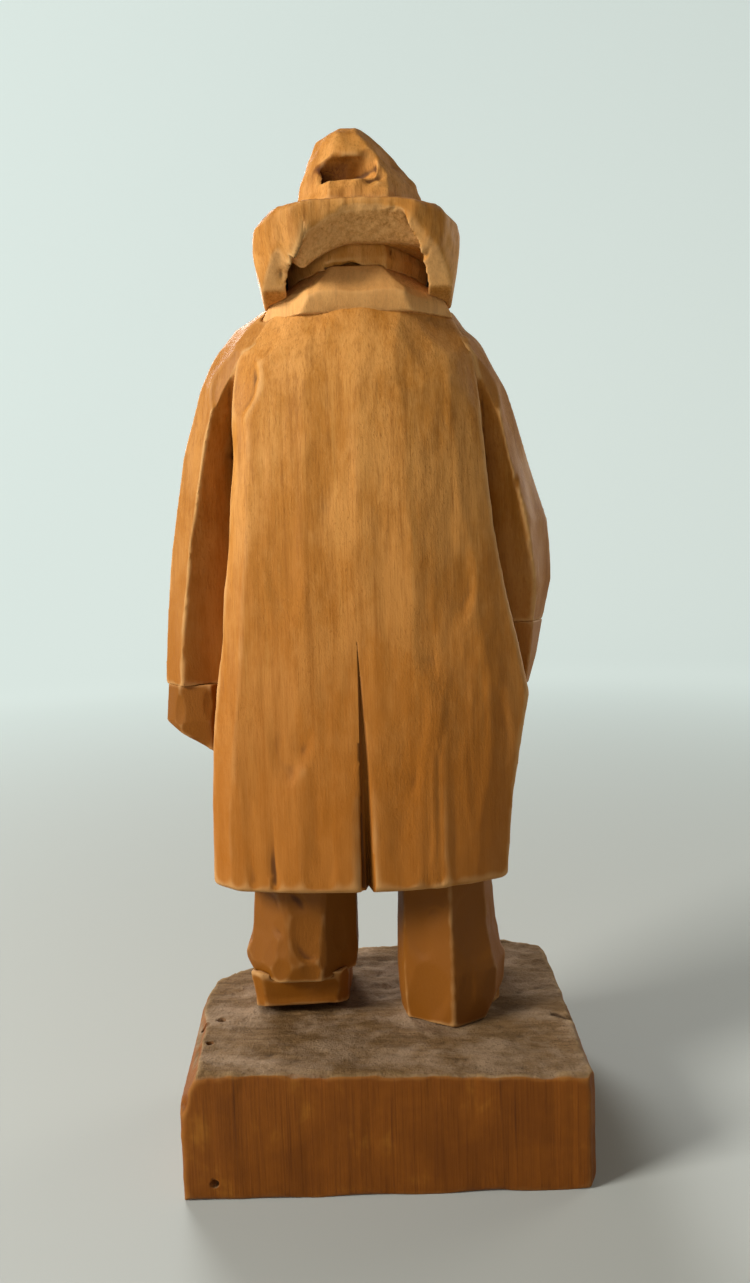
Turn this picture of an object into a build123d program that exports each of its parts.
"""A whittled figurine of a man in a long coat and a slouch hat, standing on a hand-sawn block.

Millimetres, +Z up. The man faces -Y, so his left side is +X. The origin is the middle of the
block's underside. Every carved form is its own solid and meets its neighbours face to face.
"""
from build123d import *
import os

# ---- driving dimensions -------------------------------------------------------------------
BLOCK_WIDTH = 77.0        # across the figure, X
BLOCK_DEPTH = 63.0        # front to back, Y
BLOCK_HEIGHT = 23.6       # at the middle; the sawn top falls towards the man's right
BLOCK_FALL = 0.034        # rise of the top per millimetre of X
HEM_Z = 53.0              # underside of the coat
NECK_Z = 171.0            # top of the coat, under the collar
LAPEL_X = -0.6            # where the two lapels meet
CUFF_Z = 93.5             # end of the left sleeve
TIP_Z = 203.0             # top of the hat
BUTTONS = ((76.0, -20.3), (96.0, -20.2), (116.0, -19.7), (136.0, -19.0))  # z and front face y

BIG = 300.0               # larger than the whole figure, for cutting tools


# ---- helpers ------------------------------------------------------------------------------
def level(z, points):
    """A flat closed outline at one height."""
    return Wire.make_polygon([(x, y, z) for x, y in points], close=True)


def level_x(x, points):
    """A flat closed outline that faces the man's side."""
    return Wire.make_polygon([(x, y, z) for y, z in points], close=True)


def hew(outlines):
    """A solid with flat, knife-cut sides that runs through closed outlines of equal corners."""
    return Solid.make_loft(outlines, ruled=True)


def pare(solid, point, direction):
    """Cut off everything on the far side of a plane, as one stroke of the knife does."""
    waste = Plane(origin=point, z_dir=direction) * Box(
        BIG, BIG, BIG, align=(Align.CENTER, Align.CENTER, Align.MIN)
    )
    return solid - waste


def octagon(left, right, back, front, corner=0.3):
    """Eight corners of a rounded box, anticlockwise from the left side's front."""
    dx, dy = (left - right) * corner, (back - front) * corner
    return [
        (left, front + dy), (left, back - dy), (left - dx, back), (right + dx, back),
        (right, back - dy), (right, front + dy), (right + dx, front), (left - dx, front),
    ]


def groove(foot, head, half_width, depth):
    """A V cut that runs up a back-facing surface and dies out: foot and head are (x, y, z)."""
    def vee(at, half, deep):
        x, y, z = at
        return Wire.make_polygon(
            [(x + half, y + deep, z), (x - half, y + deep, z), (x, y - deep, z)], close=True
        )
    return Solid.make_loft([vee(foot, half_width, depth), vee(head, 0.05, 0.05)], ruled=True)


def solid_of(shape):
    """The one solid a boolean leaves, without its wrapper."""
    return max(shape.solids(), key=lambda s: s.volume)


# ---- block --------------------------------------------------------------------------------
def base_block():
    """Sawn block with its front left corner chopped away and a top that isn't level."""
    half, back = BLOCK_WIDTH / 2, BLOCK_DEPTH / 2
    plan = [
        (half, back), (-half - 0.3, back), (-half - 1.0, -28.0), (-30.0, -back),
        (5.0, -26.5), (31.0, -15.0), (37.5, -8.0), (half + 0.2, 0.0),
    ]
    high = BLOCK_HEIGHT + 6.0
    block = hew([level(0, plan), level(high, plan)])
    block = pare(block, (0, 0, BLOCK_HEIGHT), (-BLOCK_FALL, 0, 1))
    block = pare(block, (-half, back, 0.6), (-1, 1.2, -2.2))
    block = pare(block, (-half, 0, 1.0), (-1, 0, -1.3))
    block = pare(block, (half - 0.2, 8.0, BLOCK_HEIGHT), (1.0, 0.12, 0.55))
    return block


# ---- shoes and trousers -------------------------------------------------------------------
def left_shoe():
    """Blunt shoe whose heel is undercut at the back and touches the block further in."""
    sole = [(24.5, -15.0), (27.4, -6.0), (26.8, 7.0), (24.6, 8.6), (9.2, 8.0), (7.6, 5.0),
            (7.0, -10.0), (9.5, -18.6), (17.5, -19.4)]
    top = [(23.5, -12.5), (27.0, -5.0), (27.6, 8.5), (25.2, 10.2), (8.4, 9.8), (7.0, 6.0),
           (7.4, -9.0), (10.5, -14.5), (17.0, -15.0)]
    shoe = hew([level(20, sole), level(28, sole), level(34, top)])
    return pare(shoe, (17.0, 8.4, 26.3), (-0.06, 1.0, -3.2))


def right_shoe():
    """Blunt shoe turned out, most of it under the long trouser leg."""
    sole = [(-4.0, -10.0), (-3.6, 3.0), (-8.0, 8.0), (-20.0, 8.0), (-24.8, 1.0), (-26.5, -12.0),
            (-25.0, -22.0), (-17.0, -26.0), (-8.5, -22.0)]
    top = [(-4.5, -9.0), (-4.2, 2.0), (-8.0, 7.0), (-19.5, 7.0), (-24.2, 0.0), (-25.0, -11.0),
           (-23.5, -18.5), (-16.5, -21.5), (-9.0, -18.5)]
    return hew([level(20, sole), level(28, sole), level(34, top)])


def left_trouser_leg():
    """Short leg that swells to a cuff; the cuff's lower edge stands out over the heel."""
    leg = hew([
        level(HEM_Z, octagon(26.4, 5.2, 10.5, -12.0)),
        level(42.0, octagon(27.2, 5.3, 11.0, -12.5)),
        level(36.0, octagon(29.0, 5.2, 12.0, -13.0)),
        level(32.4, octagon(28.2, 5.8, 11.4, -12.6)),
    ])
    leg = pare(leg, (24.5, 12.0, 45.0), (1.0, 1.05, 0.35))
    leg = pare(leg, (20.5, 11.2, 38.0), (0.35, 1.0, 0.12))
    return pare(leg, (28.2, 4.0, 34.0), (1.0, 0.3, -0.55))


def right_trouser_leg():
    """Long leg that hangs to the block behind, with a ridge down its heel."""
    def outline(left, right, ridge, front):
        width = left - right
        return [
            (left, ridge - 10.0), (left - 0.06 * width, ridge - 4.5), (-14.0, ridge),
            (right + 0.12 * width, ridge - 4.5), (right, ridge - 11.5),
            (right + 0.12 * width, front + 3.5), (-16.0, front), (left - 0.18 * width, front + 1.0),
        ]
    leg = hew([
        level(HEM_Z, outline(-3.6, -23.6, 11.5, -13.0)),
        level(41.0, outline(-3.2, -24.4, 12.5, -13.0)),
        level(33.5, outline(-3.0, -26.2, 13.6, -13.5)),
        level(28.0, outline(-3.2, -25.6, 14.2, -13.0)),
        level(20.0, outline(-4.2, -21.5, 14.4, -11.0)),
    ])
    return pare(leg, (-16.0, -11.0, 32.0), (0.0, -1.0, -1.3))


# ---- coat ---------------------------------------------------------------------------------
BACK_FACETS = ((0.0, 1.0), (0.075, 0.45), (0.3, 0.1), (0.52, 0.0), (0.68, 0.07), (0.88, 0.5), (1.0, 1.0))
FRONT_FACETS = ((1.0, 1.0), (0.9, 0.35), (0.7, 0.06), (0.47, 0.0), (0.26, 0.06), (0.08, 0.35), (0.0, 1.0))
COAT_LEVELS = (
    # z, left edge, right edge, back edge y, back y, front edge y, front y
    (HEM_Z, 32.0, -24.8, 11.0, 17.6, -8.0, -17.4),
    (54.2, 33.6, -25.9, 12.0, 18.6, -8.5, -18.6),
    (70.0, 33.3, -27.2, 12.0, 18.4, -8.0, -19.0),
    (83.0, 32.5, -29.2, 12.0, 18.0, -8.0, -19.0),
    (91.0, 31.6, -30.8, 11.5, 17.8, -8.0, -19.0),
    (100.0, 30.4, -29.0, 11.5, 17.6, -7.5, -18.8),
    (112.0, 29.0, -26.4, 11.5, 17.4, -7.0, -18.4),
    (124.0, 27.6, -24.4, 11.5, 17.2, -7.0, -17.8),
    (140.0, 26.6, -22.9, 11.0, 16.8, -7.0, -17.2),
    (152.0, 26.0, -22.2, 9.5, 15.8, -7.0, -16.4),
    (159.0, 25.0, -21.4, 7.0, 14.2, -6.5, -15.6),
    (165.0, 20.8, -18.2, 4.5, 12.6, -6.0, -14.2),
    (168.0, 17.4, -15.2, 3.5, 11.4, -6.0, -13.2),
    (NECK_Z, 11.6, -10.0, 1.5, 8.4, -5.5, -11.0),
)
VENT_HEAD = (3.1, 17.5, 101.6)
VENT_FOOT = (2.8, 18.4, HEM_Z - 4.0)


def coat_outline(left, right, back_edge, back, front_edge, front):
    """Fourteen corners of one level of the coat: seven facets behind, seven before."""
    width = left - right
    behind = [(left - a * width, back - d * (back - back_edge)) for a, d in BACK_FACETS]
    before = [(left - a * width, front + d * (front_edge - front)) for a, d in FRONT_FACETS]
    return behind + before


def coat_body():
    """Coat from neck to hem: broad knife facets, a back vent and two pressed folds."""
    coat = hew([level(z, coat_outline(*sizes)) for z, *sizes in COAT_LEVELS])
    coat = coat - groove(VENT_FOOT, VENT_HEAD, 2.1, 5.0)
    coat = coat - groove((20.8, 17.4, HEM_Z - 4.0), (21.6, 16.2, 86.0), 1.7, 1.8)
    coat = coat - groove((-12.0, 17.2, HEM_Z - 4.0), (-12.4, 16.4, 96.0), 2.4, 1.3)
    closing = hew([
        level(HEM_Z - 1, [(-2.6, -30), (-1.2, -30), (-1.9, -16.9)]),
        level(150.0, [(-2.6, -30), (-1.2, -30), (-1.9, -15.0)]),
    ])
    return coat - closing


def collar():
    """Low stand collar that lies close round the neck; its top edge slopes forward."""
    band = hew([
        level(165.5, octagon(20.4, -18.0, 13.6, -15.4, 0.22)),
        level(169.4, octagon(17.9, -15.8, 12.9, -15.6, 0.24)),
        level(174.8, octagon(11.4, -9.4, 9.8, -15.0, 0.28)),
    ])
    return pare(band, (0, 2.0, 174.2), (0, -0.5, 1.0))


def lapel(side):
    """Pointed lapel, a flat wedge from the collar to the top button; side is +1 for his left."""
    def at(z, inner, outer, front):
        corners = [(inner, front + 3.4), (inner, front), (outer, front + 0.9), (outer, front + 4.2)]
        return level(z, [(LAPEL_X + side * x, y) for x, y in corners])
    return hew([
        at(141.0, 0.15, 1.2, -18.4),
        at(157.0, 0.6, 10.6, -18.0),
        at(159.0, 0.8, 7.4, -17.6),
        at(166.5, 3.4, 10.4, -16.4),
    ])


# ---- arms ---------------------------------------------------------------------------------
def left_sleeve():
    """Hanging sleeve with a ridge behind; a long knife cut frees it from the coat below the shoulder."""
    def outline(outer, ridge_x, ridge_y, front_y, inner, cut_y):
        return [
            (outer, ridge_y - 6.0), (ridge_x, ridge_y), (inner + 3.0, cut_y), (inner, cut_y),
            (inner, -9.0), (inner + 3.0, -9.0), (outer - 6.5, front_y), (outer - 1.0, front_y + 5.5),
        ]
    return hew([
        level(169.4, outline(20.6, 17.5, 4.5, -9.0, 10.0, 6.4)),
        level(165.5, outline(26.0, 21.5, 6.0, -9.5, 14.0, 8.2)),
        level(160.0, outline(30.4, 26.0, 8.0, -10.5, 20.0, 9.2)),
        level(153.0, outline(33.7, 29.4, 8.4, -11.5, 23.0, 6.4)),
        level(140.0, outline(37.6, 32.6, 8.0, -12.0, 24.0, 0.5)),
        level(122.0, outline(41.0, 36.2, 7.2, -13.0, 24.0, 0.5)),
        level(107.0, outline(42.8, 38.4, 6.4, -13.5, 24.0, 0.5)),
        level(CUFF_Z, outline(43.9, 39.6, 5.8, -13.5, 24.0, 0.5)),
    ])


def right_sleeve():
    """Sleeve bent a little at the elbow, going forward and down to the pocket."""
    def outline(outer, ridge_x, ridge_y, front_y, inner, cut_y):
        return [
            (outer, ridge_y - 7.0), (outer + 1.0, front_y + 5.0), (outer + 7.0, front_y),
            (inner - 3.0, front_y), (inner, -5.0), (inner, cut_y - 1.5), (inner - 3.5, cut_y),
            (ridge_x, ridge_y),
        ]
    return hew([
        level(168.4, outline(-18.6, -15.0, 4.5, -9.0, -7.5, 5.6)),
        level(164.5, outline(-21.2, -17.0, 5.4, -9.5, -10.0, 7.2)),
        level(160.0, outline(-25.0, -21.6, 7.6, -10.5, -14.0, 8.2)),
        level(152.0, outline(-28.8, -25.4, 8.2, -11.0, -18.0, 6.0)),
        level(138.0, outline(-32.8, -28.0, 8.4, -12.0, -19.0, 1.5)),
        level(125.0, outline(-36.8, -31.5, 8.0, -13.5, -19.0, 1.5)),
        level(114.0, outline(-37.8, -33.0, 6.8, -15.5, -19.0, 1.5)),
        level(104.5, outline(-36.4, -33.4, 3.5, -18.0, -19.0, 1.5)),
    ])


def left_hand():
    """Loose fist below the cuff, whittled to a few flats."""
    fist = hew([
        level(CUFF_Z, octagon(43.2, 30.5, 4.6, -11.5, 0.24)),
        level(86.0, octagon(43.9, 31.0, 4.8, -12.5, 0.24)),
        level(79.0, octagon(42.0, 31.0, 3.6, -11.0, 0.26)),
    ])
    fist = pare(fist, (43.6, -3.0, 85.2), (1.0, 0.1, -1.55))
    fist = pare(fist, (41.5, 4.0, 88.0), (1.0, 1.0, 0.1))
    return pare(fist, (38.0, -12.0, 83.0), (0.1, -1.0, -0.8))


def right_hand():
    """Wrist and the heel of the hand, flush with the cuff, where they slide into the pocket."""
    hand = hew([
        level(104.5, [(-22.0, -5.0), (-22.0, 0.0), (-24.0, 1.2), (-33.2, 3.2), (-36.2, -3.4),
                      (-35.2, -12.8), (-29.2, -17.6), (-24.0, -17.6)]),
        level(97.0, [(-23.0, -6.0), (-23.0, -1.5), (-25.0, -0.5), (-32.6, 1.6), (-35.0, -4.5),
                     (-34.2, -11.0), (-29.0, -15.0), (-25.0, -15.0)]),
        level(90.5, [(-25.0, -7.0), (-25.0, -4.0), (-26.5, -3.0), (-32.0, -1.5), (-33.4, -6.0),
                     (-32.8, -9.0), (-29.5, -11.0), (-26.0, -11.0)]),
    ])
    return pare(hand, (-33.6, -12.0, 93.0), (-1.0, -0.9, -0.5))


# ---- head and hat -------------------------------------------------------------------------
def head():
    """Faceted head with a blunt chin, sunk between the shoulders under the hat."""
    return hew([
        level(158.0, octagon(5.6, -3.6, -9.0, -17.0, 0.3)),
        level(161.0, octagon(8.4, -6.4, -3.0, -18.4, 0.3)),
        level(166.0, octagon(11.8, -10.0, 4.0, -18.6, 0.3)),
        level(170.5, octagon(14.6, -12.8, 8.6, -17.8, 0.3)),
        level(176.0, octagon(15.2, -13.4, 10.4, -17.2, 0.3)),
        level(180.5, octagon(13.8, -12.0, 9.8, -16.0, 0.3)),
    ])


def nose():
    """Plain straight nose, a wedge with a blunt tip."""
    return hew([
        level(167.0, [(3.4, -16.0), (-1.4, -16.0), (-0.6, -21.0), (2.6, -21.0)]),
        level(168.6, [(3.6, -16.0), (-1.6, -16.0), (-0.9, -21.6), (2.9, -21.6)]),
        level(177.0, [(2.2, -14.5), (-0.2, -14.5), (0.1, -18.4), (1.9, -18.4)]),
    ])


BRIM_ARCHES = (
    # y, half width, top z, side z, side thickness, top thickness
    (18.8, 11.6, 184.2, 180.8, 2.6, 1.6),
    (16.2, 16.6, 185.2, 176.0, 4.2, 4.4),
    (13.0, 18.9, 186.1, 172.0, 5.0, 8.0),
    (11.5, 19.7, 186.6, 169.8, 5.2, 8.3),
    (4.0, 19.9, 187.2, 167.4, 5.2, 8.6),
    (-7.0, 19.4, 186.0, 171.0, 4.6, 6.4),
    (-16.0, 16.8, 183.8, 176.0, 4.0, 4.2),
    (-22.5, 11.5, 181.6, 178.4, 3.0, 3.2),
    (-25.5, 6.0, 180.6, 179.6, 2.2, 2.4),
)
BRIM_X = 0.9              # the hat sits a little to the man's left
BRIM_CURL = ((0.93, 0.0), (1.0, 0.36), (1.02, 0.62), (0.86, 0.86), (0.56, 0.97), (0.0, 1.0))


def hat_brim():
    """Floppy brim: turned up behind, drooping over the ears, level over the face."""
    def arch(y, half, top, side, side_thick, top_thick):
        over = [(share * half, side + rise * (top - side)) for share, rise in BRIM_CURL]
        inside, roof = half - side_thick, max(top - top_thick, side + 0.6)
        under = [(share * inside, side + rise * (roof - side)) for share, rise in BRIM_CURL]
        ring = over + [(-x, z) for x, z in reversed(over[:-1])]
        back = [(-x, z) for x, z in under] + [(x, z) for x, z in reversed(under[:-1])]
        return Wire.make_polygon([(BRIM_X + x, y, z) for x, z in ring + back], close=True)
    return hew([arch(*sizes) for sizes in BRIM_ARCHES])


def hat_crown():
    """Crumpled cone that leans to the man's left, with a flat-floored dent knifed into its back."""
    crown = hew([
        level(180.0, octagon(13.0, -12.6, 12.4, -13.6, 0.26)),
        level(188.5, octagon(12.4, -12.2, 11.6, -12.6, 0.27)),
        level(191.0, octagon(11.8, -11.4, 11.0, -11.6, 0.28)),
        level(197.0, octagon(9.8, -7.0, 9.4, -8.0, 0.3)),
        level(200.4, octagon(8.2, -3.4, 7.4, -5.4, 0.3)),
        level(TIP_Z, octagon(4.0, -0.6, 4.2, -2.6, 0.3)),
    ])
    notch = level_x(7.6, [(3.4, 190.8), (15.0, 190.0), (15.0, 196.4), (8.4, 194.8)])
    side = level_x(-3.6, [(7.8, 191.0), (15.0, 190.4), (15.0, 196.4), (9.4, 195.2)])
    return crown - Solid.make_loft([notch, side], ruled=True)


# ---- trim ---------------------------------------------------------------------------------
def coat_button(z, front):
    """Round button carved in relief beside the closing edge; its back is the coat's face."""
    return Pos(-6.2, front + 2.0, z) * Rot(90, 0, 0) * Cylinder(2.3, 4.0)


def pocket_flap():
    """Slanting flap over the left pocket, carved in relief."""
    return Pos(18.5, -18.4, 92.0) * Rot(0, 8, 0) * Box(12.0, 3.0, 5.0)


# ---- fitting the forms to each other --------------------------------------------------------
def assemble():
    """Cut each form back to the one that it is carved against, so that faces meet."""
    block, coat, band, skull = base_block(), coat_body(), collar(), head()
    left_leg, right_leg = left_trouser_leg(), right_trouser_leg()
    left_arm, right_arm = left_sleeve(), right_sleeve()
    band = band - coat
    skull = skull - coat - band
    lapels = [lapel(1) - coat - band - skull, lapel(-1) - coat - band - skull]
    brim = hat_brim() - skull - coat - band - left_arm - right_arm
    nodes = {
        "base_block": block,
        "left_shoe": left_shoe() - block - left_leg,
        "right_shoe": right_shoe() - block - right_leg,
        "left_trouser_leg": left_leg - block,
        "right_trouser_leg": right_leg - block,
        "coat_body": coat,
        "left_sleeve": left_arm - coat - band - skull,
        "right_sleeve": right_arm - coat - band - skull,
        "left_hand": left_hand() - coat,
        "right_hand": right_hand() - coat,
        "collar": band,
        "left_lapel": lapels[0],
        "right_lapel": lapels[1],
        "left_pocket_flap": pocket_flap() - coat,
        "head": skull,
        "nose": nose() - skull - brim,
        "hat_brim": brim,
        "hat_crown": hat_crown() - brim - skull,
    }
    nodes = {name: solid_of(shape) for name, shape in nodes.items()}
    buttons = [solid_of(coat_button(*place) - coat - nodes["right_lapel"]) for place in BUTTONS]
    nodes["coat_buttons"] = Compound(children=buttons)
    return nodes


os.makedirs("parts", exist_ok=True)
for name, shape in assemble().items():
    export_step(shape, f"parts/{name}.step")
